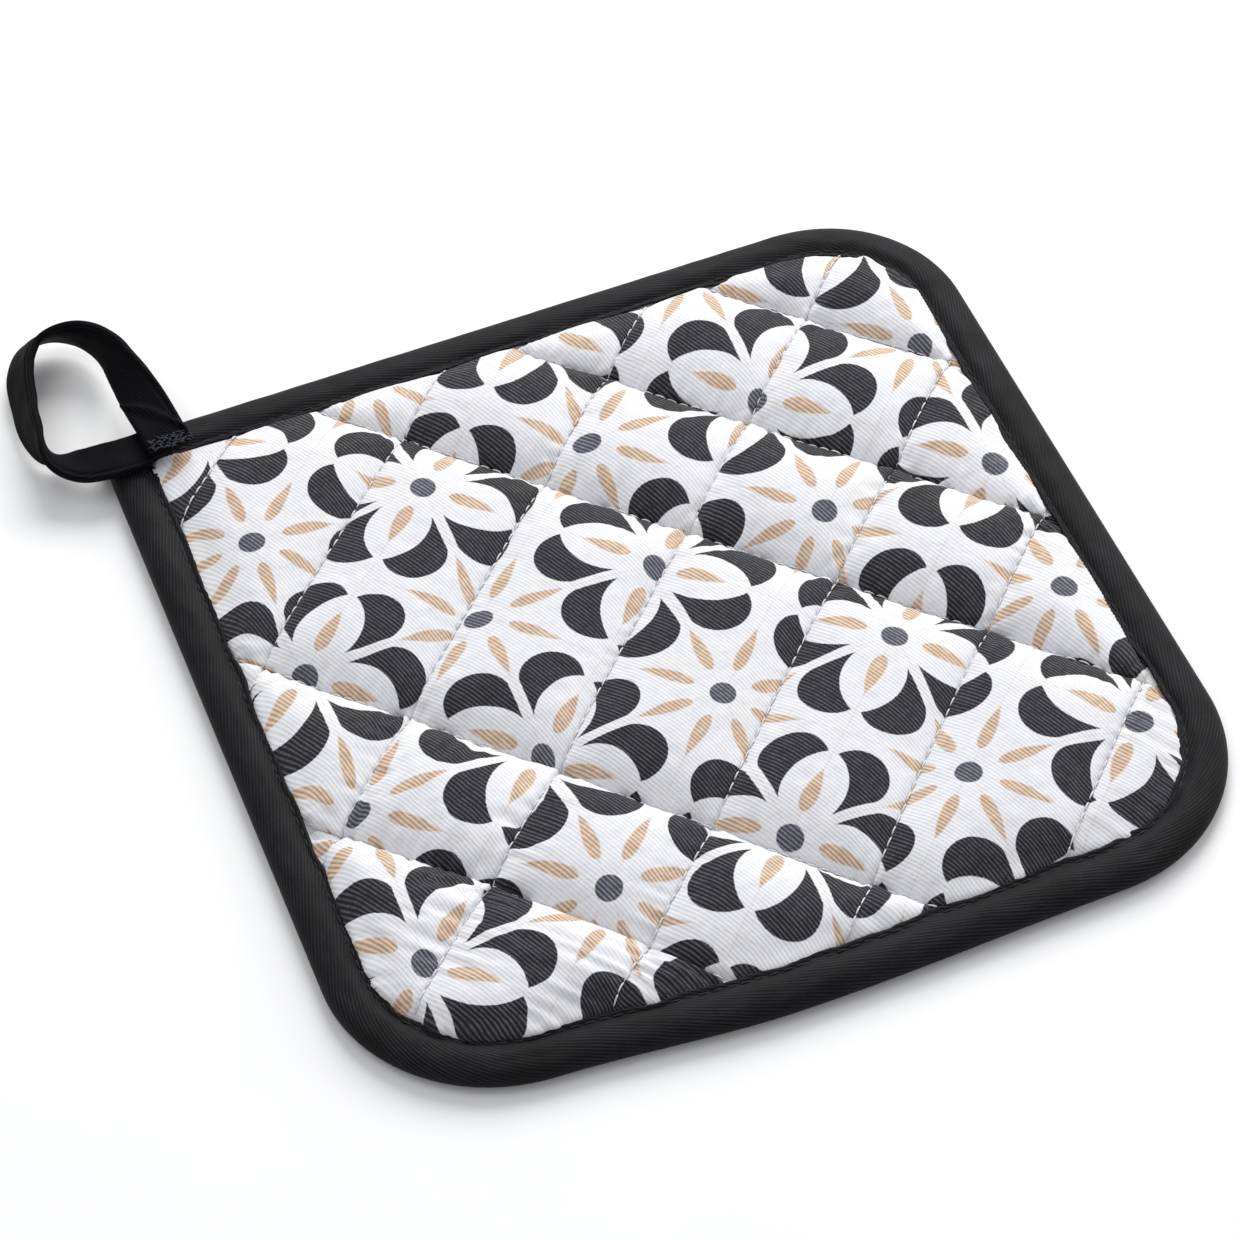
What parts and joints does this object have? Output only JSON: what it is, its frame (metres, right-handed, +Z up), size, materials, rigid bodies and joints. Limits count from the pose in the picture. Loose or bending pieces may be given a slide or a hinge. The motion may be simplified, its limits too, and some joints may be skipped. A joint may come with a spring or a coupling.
{
  "type": "pot holder",
  "caption": "Square quilted cotton pot holder with a bound rim and a tape loop at one corner, lying flat.",
  "frame": {"origin": "middle of the pad's square, on the underside it rests on", "axes": "+Z up, out of the printed face; +X along the far edge, away from the loop corner; +Y towards the far edge that the loop stands past"},
  "size_m": [0.2157, 0.2393, 0.0142],
  "materials": {
    "printed_cotton": "cotton twill, white with a charcoal and beige flower print",
    "black_tape": "black cotton twill tape"
  },
  "bodies": {
    "root": {"quilted_pad": "printed_cotton", "binding": "black_tape", "hanging_loop": "black_tape"}
  },
  "joints": []
}
